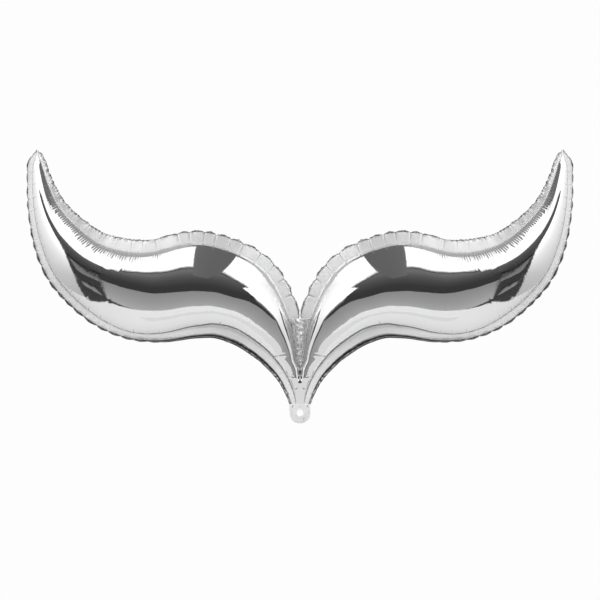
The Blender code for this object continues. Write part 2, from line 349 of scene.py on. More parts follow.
foil = dict(
    tickStep=0.50,              # along the seam, where the fine puckers are
    plainStep=1.15,
    columnsPerTick=5,
    rowsRound=52,
    rowsBunched=0.35,           # 0 spaces the rows evenly, 1 bunches them at the seams
    # x along the seam and how strong the fine puckers are there
    upperTicks=((-272, 0), (-266, 0.3), (-258, 0.5), (-240.5, 0.7), (-238.7, 0.1), (-237, 0.9), (-225, 1),
                (-223.3, 0.2), (-221.5, 1), (-209.5, 1), (-207.9, 0.3), (-206, 1), (-187, 1), (-185.9, 0.1),
                (-184.5, 0.9), (-174.5, 0.9), (-172.7, 0.1), (-171, 0.25), (-162, 0.15), (-160, 0.8),
                (-153, 0.8), (-150, 0.1), (-140, 0)),
    lowerTicks=((-116, 0), (-112, 0.8), (-92, 0.9), (-60, 0.8), (-30, 0.6), (-14, 0.4), (-8, 0)),
    # the tight strip that the ticks start from, darkened with painted shade for its folds: x along the upper seam, and
    # how dark the painted shade is
    tightStripShade=((-280, 0), (-262, 0.5), (-250, 0.8), (-236, 1), (-150, 1), (-125, 0.8), (-110, 0),
                (-12.5, 0), (-10, 0.7), (-1, 0.7)),
    tightWidth=(3.4, 4.8),
    # how long the puckers are there, as a share of the whole length
    upperLengths=((-266, 0.55), (-241, 0.6), (-236, 0.9), (-222, 0.95), (-205, 1.0), (-174, 1.0), (-160, 0.9)),
    # a crease: seam, x where it starts, slant along the seam, reach and depth; x along, the rest in mm
    creases=(
        ("upper", -238.0, -0.15, 11.0, 0.30), ("upper", -223.0, -0.30, 19.0, 0.34),
        ("upper", -207.5, -0.10, 21.0, 0.36), ("upper", -186.5, 0.00, 22.0, 0.34),
        ("upper", -173.0, 0.10, 13.0, 0.26), ("upper", -157.0, 0.20, 11.0, 0.28),
        ("lower", -111.5, 0.00, 4.5, 0.35), ("lower", -89.5, 0.20, 7.5, 0.55),
        ("lower", -75.0, 0.15, 5.0, 0.30), ("lower", -62.0, 0.15, 6.0, 0.30),
        ("lower", -46.0, 0.15, 5.5, 0.25), ("lower", -31.0, 0.25, 17.0, 0.50),
        ("lower", -15.5, 0.30, 9.0, 0.50),
    ),
    # folds that run beside the upper seam down to the neck: from z to z, away from the seam at both, width, depth
    sideFolds=(
        (128.0, 98.0, 3.2, 1.2, 0.40, 0.5), (117.0, 92.0, 1.6, 0.5, 0.30, 0.4), (122.0, 60.0, 5.6, 1.8, 0.50, -0.35),
        (96.0, 52.0, 3.4, 1.4, 0.40, 0.3), (88.0, 50.0, 6.0, 3.0, 0.50, -0.25),
    ),
    # short creases on the neck: x, z, turn in degrees, length, depth
    marks=((-4.4, 26.8, 30.0, 1.9, 0.6), (-5.0, 12.0, 60.0, 1.2, 0.3)),
)


def ticksAt(table, places):
    xs, strengths = np.array(table, dtype=float).T
    return np.interp(places, xs, strengths, left=0.0, right=0.0)


def columnsOf():
    # fine-step places of the columns: close together where the puckers are, wider elsewhere
    upperStep, lowerStep = np.gradient(upperRun), np.gradient(lowerRun)
    inUpper = ticksAt(foil["upperTicks"], upperSeam[:, 0]) > 0.01
    inLower = (ticksAt(foil["lowerTicks"], lowerSeam[:, 0]) > 0.01) & (lowerRun > lowerRun[-1] / 2)
    share = 0.5 * (upperStep + lowerStep) / foil["plainStep"]
    share = np.where(inUpper, upperStep / foil["tickStep"], share)
    share = np.where(inLower, lowerStep / foil["tickStep"], share)
    share = evened(share[:, None], 30)[:, 0]
    count = np.concatenate([[0.0], np.cumsum(0.5 * (share[1:] + share[:-1]))])
    total = 4 * round(count[-1] / 4)
    where = np.interp(np.arange(total + 1) * count[-1] / total, count, np.arange(len(count)))
    # the column at the join is a fourth one, so that the inner skin has it too
    join = np.interp(-chamber["joinZ"], -upperSeam[:, 1], np.arange(len(upperSeam)))
    near = 4 * round(float(np.interp(join, where, np.arange(total + 1))) / 4)
    where += (join - where[near]) * np.exp(-((np.arange(total + 1) - near) / 30.0) ** 2)
    return where, near


def readAt(values, where):
    low = np.minimum(where.astype(int), len(values) - 2)
    part = (where - low)[:, None]
    return values[low] * (1 - part) + values[low + 1] * part


def skinPoints(where, angles, facing, inset):
    # points of a skin at these columns and angles round the chamber, inset mm inside the outer one
    upper, lower = readAt(upperSeam, where), readAt(lowerSeam, where)
    z = upper[:, 1]
    joined = z < chamber["joinZ"] + 0.001
    across = (upper - lower) / 2
    half = np.linalg.norm(across, axis=1)
    opening = chamber["joinZ"] - z
    saddle = chamber["saddle"] * softStep(opening, 0.0, chamber["saddleReach"])
    saddle = np.minimum(saddle, chamber["neckDepth"] + half * np.clip((z - 10.5) / 12.0, 0, 1))
    saddle = np.where(joined, saddle, 0.0)
    flat = softStep(z, chamber["neckFlatZ"] - 7.0, chamber["neckFlatZ"])
    full = np.interp(z, *np.array(chamber["fullness"]).T)
    depth = chamber["roundness"] * full * readAt(plainHalf[:, None], where)[:, 0] - saddle / 2
    depth = np.where(z < chamber["neckFlatZ"], chamber["neckDepth"] + (depth - chamber["neckDepth"]) * flat, depth)
    cut = np.minimum(inset, 0.4 * half)
    unit = across / half[:, None]
    lower = lower + unit * cut[:, None]
    upper = np.where(joined[:, None], upper, upper - unit * cut[:, None])
    middle, across = (upper + lower) / 2, (upper - lower) / 2
    depth = np.maximum(depth - np.minimum(inset, 0.4 * depth), 0.05)
    x = middle[:, :1] + across[:, :1] * np.cos(angles)
    zs = middle[:, 1:] + across[:, 1:] * np.cos(angles)
    ridge = np.interp(where / chamber["fineSteps"], *np.array(chamber["ridge"]).T)[:, None]
    y = chamber["rim"] + depth[:, None] * (np.sin(angles) + ridge * np.sin(2 * angles))
    y = y + saddle[:, None] * (1 + np.cos(angles)) / 2
    y = softenGroove(x, y, joined, opening)
    return np.stack([x, facing * y, zs], axis=2)


def softenGroove(x, y, joined, opening):
    # below the weld the groove between the two halves is a soft hollow, not a sharp one
    y = y.copy()
    for i in np.nonzero(joined)[0]:
        spread = 0.25 + 1.9 * softStep(opening[i], 0.0, 16.0)
        grid = np.linspace(-12.0, 12.0, 481)
        width = abs(x[i, -1])
        if width > 12.0:
            width = 12.0
        heights = np.interp(np.abs(grid), -x[i], y[i])
        weights = np.exp(-0.5 * (np.arange(-90, 91) * 0.05 / spread) ** 2)
        soft = np.convolve(np.pad(heights, 90, mode="edge"), weights / weights.sum(), "valid")
        blend = np.exp(-(x[i] / (0.45 * width + 0.5)) ** 4)
        y[i] = y[i] * (1 - blend) + np.interp(-x[i], grid, soft) * blend
    return y


def foilMesh(name, facing):
    where, joinAt = columnsOf()
    rows = foil["rowsRound"]
    share = np.linspace(0.0, 1.0, rows + 1)
    angles = math.pi * (share - foil["rowsBunched"] / (2 * math.pi) * np.sin(2 * math.pi * share))
    outer = skinPoints(where, angles, facing, 0.0)
    inner = skinPoints(where[::4], angles[::4], facing, chamber["wall"])
    columns = len(where)

    upper, lower = readAt(upperSeam, where), readAt(lowerSeam, where)
    half = np.linalg.norm(upper - lower, axis=1)[:, None] / 2
    fromUpper = half * (1 - np.cos(angles))
    fromLower = half * (1 + np.cos(angles))
    alongUpper = np.interp(where, np.arange(len(upperRun)), upperRun)[:, None]
    alongLower = np.interp(where, np.arange(len(lowerRun)), lowerRun)[:, None]
    full = np.ones_like(fromUpper)
    tail = np.zeros(len(inner) * inner.shape[1])

    sag = full * 0.0
    for seam, x, slant, reach, depth in foil["creases"]:
        if seam == "upper":
            start, along, away = float(runAtX(upperSeam, upperRun, x)), alongUpper, fromUpper
        else:
            bottom = len(lowerSeam) // 2
            start = float(np.interp(x, lowerSeam[bottom:, 0], lowerRun[bottom:]))
            along, away = alongLower, fromLower
        off = along - start - slant * away
        fade = softStep(-away, -reach, -reach * 0.55) * softStep(away, 0.0, 0.8)
        sag += depth * fade * (0.45 * np.exp(-(off / 2.6) ** 2) - np.exp(-(off / 0.75) ** 2))
    x, z = outer[:, :, 0], outer[:, :, 2]
    height = upper[:, 1][:, None]
    for top, end, awayTop, awayEnd, width, depth in foil["sideFolds"]:
        away = np.interp(height, (end, top), (awayEnd, awayTop))
        fade = softStep(height, end, end + 8.0) * softStep(-height, -top, 12.0 - top)
        sag -= depth * fade * np.exp(-((fromUpper - away) / width) ** 2)
    for markX, markZ, turn, length, depth in foil["marks"]:
        turn = math.radians(turn)
        u = (x - markX) * math.cos(turn) + (z - markZ) * math.sin(turn)
        w = -(x - markX) * math.sin(turn) + (z - markZ) * math.cos(turn)
        sag -= depth * np.exp(-(u / length) ** 4 - (w / 0.5) ** 2)
    stripShade = ticksAt(foil["tightStripShade"], upper[:, 0])[:, None] * (1 - softStep(fromUpper, *foil["tightWidth"]))

    weights = dict(
        sag=sag, stripShade=stripShade,
        fromUpper=fromUpper, fromLower=fromLower,
        tick=full * (np.arange(columns) / foil["columnsPerTick"])[:, None],
        upperTicks=full * ticksAt(foil["upperTicks"], upper[:, 0])[:, None],
        upperLength=full * np.interp(upper[:, 0], *np.array(foil["upperLengths"]).T)[:, None],
        lowerLength=full,
        lowerTicks=full * (ticksAt(foil["lowerTicks"], lower[:, 0])
                           * (alongLower[:, 0] > lowerRun[-1] / 2))[:, None],
        upperPleat=full * pleatPhase(alongUpper, upperFolds),
        lowerPleat=full * pleatPhase(alongLower, lowerFolds),
        upperPuckers=full * np.interp(upper[:, 0], (-262, -250, -162, -150, -14, -9), (0.6, 0.15, 0.1, 1, 1, 0))[:, None],
        lowerPuckers=full * np.interp(alongLower, (0, 20, 250, 280, 330), (0.5, 1, 1, 0.5, 0)),
        free=full * (softStep(-outer[:, :, 0], 0.0, 1.2) * softStep(half, 0.5, 4.0)),
        alongUpper=full * alongUpper, alongLower=full * alongLower,
    )
    measures = {title: np.concatenate([values.ravel(), tail]) for title, values in weights.items()}

    points = np.concatenate([outer.reshape(-1, 3), inner.reshape(-1, 3)]) * mm
    points[np.abs(points[:, 0]) < 0.00001, 0] = 0.0
    wide, slim = rows + 1, rows // 4 + 1
    below = columns * wide
    faces = []
    for i in range(columns - 1):
        for k in range(rows):
            a = i * wide + k
            faces.append((a, a + 1, a + wide + 1, a + wide))
    fourths = (columns - 1) // 4
    for i in range(fourths):
        for k in range(slim - 1):
            a = below + i * slim + k
            faces.append((a, a + slim, a + slim + 1, a + 1))
        seams = [(rows, slim - 1)]
        if 4 * i < joinAt:
            seams.append((0, 0))
        for k, kIn in seams:
            edge = [(4 * i + j) * wide + k for j in range(5)]
            faces.append(tuple(edge + [below + (i + 1) * slim + kIn, below + i * slim + kIn]))
    for i, iIn in ((0, 0), (columns - 1, fourths)):
        for k in range(slim - 1):
            edge = [i * wide + 4 * k + j for j in range(5)]
            faces.append(tuple(edge + [below + iIn * slim + k + 1, below + iIn * slim + k]))
    print("%s: %d columns, %d rows" % (name, columns, rows))
    return newPiece(name, points, faces, measures)


def puckerTree():
    # fine ticks at the tight seams, folds that run in from the border, and a faint unevenness, with painted shade
    # stored for the finish in the sags, the tight strip, the tick valleys and the folds
    tree, given = newTree("seamPuckers", ("Tick depth", "Upper tick length", "Lower tick length", "Fold depth",
                                          "Fold reach", "Fold width", "Unevenness", "Seed"))
    seed = given["Seed"]
    phase = measure(tree, "tick")
    cell = phase.math("FLOOR")
    wave = 0.5 - (phase * (2 * math.pi)).math("COSINE") * 0.5
    lift = measure(tree, "sag")
    # painted shade: dark where the foil sags into creases and along the tight strip, then in each tick's valley and at
    # each fold
    paintedShade = lift.math("MULTIPLY", -2.2).math("MAXIMUM", 0.0) + measure(tree, "stripShade")
    for side, length in (("Upper", given["Upper tick length"]), ("Lower", given["Lower tick length"])):
        away = measure(tree, "from" + side)
        strength = measure(tree, side.lower() + "Ticks")
        reach = length * measure(tree, side.lower() + "Length") * (0.75 + chance(tree, cell, seed) * 0.4)
        fade = rise(away / reach, 1.0, 0.7) * rise(away, 0.0, 0.7)
        depth = given["Tick depth"] * strength * (0.45 + chance(tree, cell, seed + 31.0) * 0.85)
        lift = lift - wave * fade * depth
        paintedShade = paintedShade + rise(wave, 0.3, 0.9) * fade * strength
        pleat = measure(tree, side.lower() + "Pleat")
        gap = pleat.math("PINGPONG", 0.5)
        fold = rise(gap, given["Fold width"], 0.0) - rise(gap, given["Fold width"] * 3.0, given["Fold width"]) * 0.35
        inward = rise(away, given["Fold reach"], 0.0) * rise(away, 0.0, 0.6)
        which = pleat.math("ROUND")
        hard = 0.4 + chance(tree, which, seed + 77.0) * 0.9
        power = inward * hard * measure(tree, side.lower() + "Puckers")
        lift = lift - fold * power * given["Fold depth"]
        paintedShade = paintedShade + rise(gap, given["Fold width"] * 0.5, 0.0) * power * 0.8
    streaks = vector(tree, measure(tree, "alongLower") * 0.16, measure(tree, "fromLower") * 0.02, seed)
    broad = vector(tree, measure(tree, "alongUpper") * 0.03, measure(tree, "fromUpper") * 0.03, seed + 5.0)
    lift = lift + given["Unevenness"] * (noise(tree, streaks, 1.0, 1.0) * 0.07 + noise(tree, broad, 1.0, 1.0))
    normal = Field(tree, addNode(tree, "GeometryNodeInputNormal").outputs[0])
    offset = scaled(normal, lift * measure(tree, "free") * mm)
    moved = addNode(tree, "GeometryNodeSetPosition", {"Geometry": given["Geometry"], "Offset": offset})
    marked = addNode(tree, "GeometryNodeStoreNamedAttribute",
                     {"Geometry": Field(tree, moved.outputs[0]), "Name": "paintedShade", "Value": paintedShade * measure(tree, "free")},
                     data_type="FLOAT", domain="POINT")
    endTree(tree, given, Field(tree, marked.outputs[0]))
    return tree


# Materials

def newFinish(name):
    finish = bpy.data.materials.new(name)
    finish.use_nodes = True
    tree = finish.node_tree
    return finish, tree, tree.nodes["Principled BSDF"]


def foilFinish():
    finish, tree, shader = newFinish("mirrorFoil")
    where = Field(tree, addNode(tree, "ShaderNodeTexCoord").outputs["Object"])
    cloud = noise(tree, where, 9.0, 3.0)
    grain = noise(tree, where, 420.0, 2.0)
    tone = addNode(tree, "ShaderNodeValToRGB", {0: cloud * 0.5 + 0.5})
    tone.color_ramp.elements[0].color = (0.85, 0.85, 0.86, 1)
    tone.color_ramp.elements[1].color = (0.90, 0.90, 0.905, 1)
    # painted shade: where the creases, ticks, folds and tight strip are, the foil is mixed towards dark grey and made
    # less metallic and rougher
    paintedShade = Field(tree, addNode(tree, "ShaderNodeAttribute", attribute_name="paintedShade").outputs["Fac"])
    paintedShade = paintedShade.math("MINIMUM", 1.0)
    shadedTone = addNode(tree, "ShaderNodeMix", {"Factor": paintedShade * 0.75}, data_type="RGBA")
    tree.links.new(tone.outputs[0], shadedTone.inputs[6])
    shadedTone.inputs[7].default_value = (0.16, 0.16, 0.165, 1)
    tree.links.new(shadedTone.outputs[2], shader.inputs["Base Color"])
    feed(tree, shader.inputs["Metallic"], 1.0 - paintedShade * 0.7)
    feed(tree, shader.inputs["Roughness"], 0.062 + cloud * 0.012 + grain * 0.008 + paintedShade * 0.3)
    bump = addNode(tree, "ShaderNodeBump", {"Strength": 0.04, "Distance": 0.0002, "Height": grain})
    tree.links.new(bump.outputs[0], shader.inputs["Normal"])
    return finish


def sealFinish(name, base, rough, metal, speckle):
    finish, tree, shader = newFinish(name)
    where = Field(tree, addNode(tree, "ShaderNodeTexCoord").outputs["Object"])
    cloud = noise(tree, where, 60.0, 3.0)
    grain = noise(tree, where, 900.0, 2.0)
    lip = Field(tree, addNode(tree, "ShaderNodeAttribute", attribute_name="lip").outputs["Fac"])
    paintedShade = Field(tree, addNode(tree, "ShaderNodeAttribute", attribute_name="paintedShade").outputs["Fac"])
    feed(tree, shader.inputs["Metallic"], lip * (1.0 - metal) + metal)
    tone = addNode(tree, "ShaderNodeValToRGB", {0: cloud * 0.5 + 0.5})
    tone.color_ramp.elements[0].color = (base * 0.97, base * 0.97, base * 0.975, 1)
    tone.color_ramp.elements[1].color = (base, base, base * 1.005, 1)
    # painted shade and painted dark reflection: the border's specks, folds and rolled lip, the weld's crumples and the
    # tab's creases are mixed towards near black
    shadedTone = addNode(tree, "ShaderNodeMix", {"Factor": paintedShade.math("MINIMUM", 1.0) * 0.85}, data_type="RGBA")
    tree.links.new(tone.outputs[0], shadedTone.inputs[6])
    shadedTone.inputs[7].default_value = (0.05, 0.05, 0.055, 1)
    tree.links.new(shadedTone.outputs[2], shader.inputs["Base Color"])
    feed(tree, shader.inputs["Roughness"], rough + cloud * 0.05 + grain * 0.04 - lip * (rough - 0.12))
    bump = addNode(tree, "ShaderNodeBump", {"Strength": speckle, "Distance": 0.0002, "Height": grain + cloud})
    tree.links.new(bump.outputs[0], shader.inputs["Normal"])
    return finish


mirrorFoil = foilFinish()
sealedFoil = sealFinish("sealedFoil", 0.88, 0.30, 0.45, 0.08)
weldFoil = sealFinish("crumpledFoil", 0.93, 0.14, 0.6, 0.05)
tabFoil = sealFinish("tabFoil", 0.86, 0.36, 0.4, 0.15)

puckers = puckerTree()
foilPuckers = {
    "front": {"Tick depth": 0.45, "Upper tick length": 12.5, "Lower tick length": 3.6, "Fold depth": 0.5,
              "Fold reach": 7.0, "Fold width": 0.1, "Unevenness": 0.12, "Seed": 3.0},
    "back": {"Tick depth": 0.45, "Upper tick length": 12.5, "Lower tick length": 3.6, "Fold depth": 0.5,
             "Fold reach": 7.0, "Fold width": 0.1, "Unevenness": 0.12, "Seed": 41.0},
}


def makeFoil(side, facing):
    piece = foilMesh(side + "Foil", facing)
    shapeWith(piece, puckers, {**foilPuckers[side], "Finish": mirrorFoil})
    mirror = piece.modifiers.new("otherChamber", "MIRROR")
    mirror.use_axis = (True, False, False)
    mirror.use_mirror_merge = True
    mirror.merge_threshold = 0.00002
    settle(piece, 60.0)
    placed(piece, side + "_film")
    print("%s foil: %d faces" % (side, len(piece.data.polygons)))


makeFoil("front", -1)
makeFoil("back", 1)


# Border: the sealed strip outside the seam, pleated, with a rolled lip

border = dict(
    step=0.6,
    tuck=1.4,
    across=(0.0, 0.1, 0.2, 0.31, 0.42, 0.52, 0.61, 0.69, 0.76, 0.82, 0.87, 0.91, 0.94, 0.965, 0.985, 1.0),
    thickness=0.25,
    endBlend=12.0,
    # share of the seam from the tip: width, scallop, ruffle, lean to the back in degrees, lip width, lip curl in
    # degrees, strength of the folds, how dark the lip's painted reflection is, how crumpled the rim is
    upper=(
        (0.00, 7.0, 2.0, 0.5, 0, 2.2, 110, 0.3, 0.5, 0.8), (0.05, 5.5, 1.0, 0.5, 10, 1.6, 80, 0.2, 0.3, 0.9),
        (0.12, 8.0, 1.0, 0.5, 20, 1.6, 80, 0.2, 0.3, 0.9), (0.25, 12.5, 0.8, 0.5, 24, 1.8, 80, 0.25, 0.3, 1.0),
        (0.42, 16.2, 0.3, 0.3, 24, 1.6, 80, 0.25, 0.3, 1.0), (0.50, 14.6, 0.8, 0.4, 22, 1.8, 70, 0.5, 0.2, 0.6),
        (0.60, 14.8, 2.6, 0.7, 22, 2.4, 60, 1.0, 0.2, 0.6), (0.75, 14.8, 3.2, 0.8, 22, 2.4, 60, 1.0, 0.2, 0.6),
        (1.00, 12.8, 3.0, 0.6, 14, 2.4, 60, 1.0, 0.4, 0.8),
    ),
    lower=(
        (0.00, 7.0, 2.0, 0.5, 20, 2.2, 110, 0.3, 0.5, 0.8), (0.08, 8.0, 1.8, 0.8, 40, 2.2, 90, 0.5, 0.4, 0.8),
        (0.15, 10.5, 2.0, 0.9, 50, 3.0, 90, 0.5, 0.5, 0.5), (0.22, 13.0, 2.0, 1.0, 50, 4.0, 100, 0.5, 0.5, 0.4),
        (0.30, 13.5, 2.0, 1.0, 48, 4.2, 100, 0.5, 0.6, 0.4), (0.43, 13.5, 2.0, 1.0, 46, 4.2, 100, 0.5, 0.6, 0.4),
        (0.50, 13.0, 1.4, 0.8, 56, 4.2, 110, 0.4, 0.6, 0.4), (0.56, 13.0, 0.8, 0.5, 58, 5.0, 110, 0.2, 0.5, 0.3),
        (0.62, 13.8, 0.2, 0.3, 46, 5.2, 110, 0.1, 0.7, 0.2), (0.69, 14.4, 0.0, 0.2, 28, 6.0, 110, 0.1, 0.9, 0.2),
        (0.76, 17.2, 0.0, 0.2, 22, 7.0, 105, 0.1, 1.0, 0.4), (0.88, 14.8, 0.0, 0.3, 20, 7.0, 105, 0.1, 1.0, 1.0),
        (1.00, 8.2, 0.5, 0.3, 12, 4.6, 100, 0.2, 1.0, 1.0),
    ),
)


def borderMesh(name, seam, run, table, turn, endWay, folds):
    count = round(run[-1] / border["step"])
    along = np.linspace(0.0, run[-1], count + 1)
    points = np.stack([np.interp(along, run, seam[:, 0]), np.interp(along, run, seam[:, 1])], axis=1)
    outward = sideways(points, turn)
    startPart = (1 - softStep(along, 0.0, border["endBlend"]))[:, None]
    endPart = softStep(along, run[-1] - border["endBlend"], run[-1])[:, None]
    outward = outward * (1 - startPart) + np.array([0.0, 1.0]) * startPart
    outward = outward * (1 - endPart) + np.array(endWay) * endPart
    outward /= np.linalg.norm(outward, axis=1)[:, None]
    columns = np.array(table).T
    titles = ("width", "scallop", "ruffle", "lean", "lipWidth", "curl", "folded", "lipPaintedReflection", "crumpled")
    given = {title: np.interp(along / run[-1], columns[0], column) for title, column in zip(titles, columns[1:])}
    given["lean"] = np.radians(given["lean"])
    given["curl"] = np.radians(given["curl"])
    given["along"] = along
    given["pleat"] = pleatPhase(along, folds)
    tuck = border["tuck"] * np.minimum(softStep(along, -6.0, 12.0), softStep(run[-1] - along, -2.0, 8.0))
    across = np.stack([-tuck] + [share * given["width"] for share in border["across"]], axis=1)
    wide = across.shape[1]
    base = np.zeros((count + 1, wide, 3))
    base[:, :, 0] = points[:, 0][:, None] * mm
    base[:, :, 2] = points[:, 1][:, None] * mm
    way = np.zeros((count + 1, wide, 3))
    way[:, :, 0] = outward[:, 0][:, None]
    way[:, :, 2] = outward[:, 1][:, None]
    measures = {title: np.repeat(values, wide) for title, values in given.items()}
    measures["across"] = across.ravel()
    measures["outward"] = way.reshape(-1, 3)
    faces = []
    for i in range(count):
        for k in range(wide - 1):
            a = i * wide + k
            faces.append((a, a + 1, a + wide + 1, a + wide))
    return newPiece(name, base.reshape(-1, 3), faces, measures)


def borderTree():
    tree, given = newTree("pleatedBorder", ("Fold width", "Fold depth", "Crumple", "Rim crumple", "Painted specks", "Seed"))
    v = measure(tree, "across")
    width = measure(tree, "width")
    lean = measure(tree, "lean")
    pleat = measure(tree, "pleat")
    along = measure(tree, "along")
    folded = measure(tree, "folded")
    crumpled = measure(tree, "crumpled")
    scallop = measure(tree, "scallop")
    seed = given["Seed"]
    gap = pleat.math("PINGPONG", 0.5)
    fold = rise(gap, given["Fold width"], 0.0)
    dome = (gap * 2.0).math("MAXIMUM", 0.0001) ** 0.5
    share = (v / width).math("MAXIMUM", 0.0)
    longer = v + scallop * (dome - 0.75) * share * share
    whole = width + scallop * (dome - 0.75)
    # the lip is as wide as it can be between two folds, and nearly closed at a fold
    held = (scallop / 1.5).math("MINIMUM", 1.0) * 0.8
    lip = measure(tree, "lipWidth") * (1.0 - held * (1.0 - dome))
    start = whole - lip
    flat = longer.math("MINIMUM", start)
    over = (longer - start).math("MAXIMUM", 0.0)
    radius = lip / measure(tree, "curl")
    turned = lean - over / radius
    outwards = flat * lean.math("COSINE") + radius * (lean.math("SINE") - turned.math("SINE"))
    back = (flat * lean.math("SINE")).math("MAXIMUM", 0.0) + radius * (turned.math("COSINE") - lean.math("COSINE"))
    outwards = outwards.math("MAXIMUM", -5.0)
    swing = chance(tree, pleat.math("FLOOR"), seed) * 2.0 - 1.0
    bow = (pleat * (2 * math.pi) + seed).math("SINE") * 0.4 + swing * dome
    back = back + measure(tree, "ruffle") * share * bow
    back = back + fold * folded * given["Fold depth"] * share
    place = Field(tree, addNode(tree, "GeometryNodeInputPosition").outputs[0])
    fine = noise(tree, vector(tree, along, v, seed), 1.0 / 3.0, 2.0, 0.6)
    rim = rise(v, width - 4.5, width - 0.5) * crumpled
    back = back + fine * (given["Crumple"] * rise(v, 0.0, 3.0) + given["Rim crumple"] * rim)
    other = noise(tree, vector(tree, along, v, seed + 9.0), 1.0 / 2.2, 1.0, 0.5)
    outwards = outwards + other * given["Rim crumple"] * 0.6 * rim
    way = measure(tree, "outward", "FLOAT_VECTOR")
    spot = summed(place, scaled(way, outwards * mm))
    spot = summed(spot, vector(tree, 0.0, back * mm, 0.0))
    parts = addNode(tree, "ShaderNodeSeparateXYZ", {0: spot})
    x, y, z = [Field(tree, parts.outputs[k]) for k in range(3)]
    spot = vector(tree, x.math("MINIMUM", -0.0002), y, z)
    moved = addNode(tree, "GeometryNodeSetPosition", {"Geometry": given["Geometry"], "Position": spot})
    rolled = rise(over, 0.0, 1.0)
    # painted shade of tiny folds as dark specks near the rim, painted shade in each fold, and a painted dark reflection
    # on the rolled lip
    specks = noise(tree, vector(tree, along * 0.5, v, seed + 3.0), 0.7, 2.0, 0.6)
    outer = rise(v, width - 3.4, width - 1.4)
    paintedShade = rise(specks, 0.02, 0.22) * outer * crumpled * given["Painted specks"]
    paintedShade = paintedShade + rise(gap, given["Fold width"] * 0.45, 0.0) * folded * rise(share, 0.0, 0.5) * 0.8
    patches = noise(tree, vector(tree, along * 0.35, v, seed + 13.0), 0.8, 1.0, 0.5)
    paintedShade = paintedShade + rise(over, 0.0, 0.6) * measure(tree, "lipPaintedReflection") * (1.0 - crumpled * rise(patches, 0.0, 0.15))
    geometry = Field(tree, moved.outputs[0])
    for title, value in (("lip", rolled), ("paintedShade", paintedShade)):
        marked = addNode(tree, "GeometryNodeStoreNamedAttribute", {"Geometry": geometry, "Name": title, "Value": value},
                         data_type="FLOAT", domain="POINT")
        geometry = Field(tree, marked.outputs[0])
    endTree(tree, given, geometry)
    return tree


pleated = borderTree()
borderSizes = {
    "upper": {"Fold width": 0.09, "Fold depth": 0.8, "Crumple": 0.03, "Rim crumple": 2.4, "Painted specks": 1.0, "Seed": 5.0},
    "lower": {"Fold width": 0.09, "Fold depth": 0.8, "Crumple": 0.02, "Rim crumple": 0.9, "Painted specks": 0.6, "Seed": 23.0},
}


def mirroredCopy(obj, name):
    twin = obj.copy()
    twin.data = obj.data.copy()
    twin.name = name
    bpy.context.scene.collection.objects.link(twin)
    twin.data.name = name
    flip = np.zeros(len(twin.data.vertices) * 3, dtype=np.float32)
    twin.data.vertices.foreach_get("co", flip)
    flip[0::3] *= -1
    twin.data.vertices.foreach_set("co", flip)
    twin.data.flip_normals()
    twin.data.update()
    return twin


def makeBorder(kind, seam, run, turn, endWay, folds):
    piece = borderMesh("left" + kind.capitalize() + "Border", seam, run, border[kind], turn, endWay, folds)
    shapeWith(piece, pleated, {**borderSizes[kind], "Finish": sealedFoil})
    solid = piece.modifiers.new("thickness", "SOLIDIFY")
    solid.thickness = border["thickness"] * mm
    solid.offset = 0.0
    settle(piece, 60.0)
    twin = mirroredCopy(piece, "right" + kind.capitalize() + "Border")
    placed(piece, "left_%s_seal" % kind)
    placed(twin, "right_%s_seal" % kind)
    print("%s border: %d faces" % (kind, len(piece.data.polygons)))


aboveNotch = upperSeam[:, 1] > chamber["notchZ"]
makeBorder("upper", upperSeam[aboveNotch], upperRun[aboveNotch], 1, (1.0, 0.0), upperFolds)
makeBorder("lower", lowerSeam, lowerRun, -1, (-1.0, 0.0), lowerFolds)


# Weld: the crumpled strip between the two chambers

weld = dict(
    step=0.4, footZ=40.0, tuck=1.6, rowsAcross=44, thickness=0.3,
    leanTop=16.0, leanFoot=4.0,         # degrees that each side leans back from its seam
    ridgeHalf=3.4, ridgeHeight=2.4,     # the crumpled ridge up the middle
    puckerPitch=5.8, puckerDepth=1.0,
)


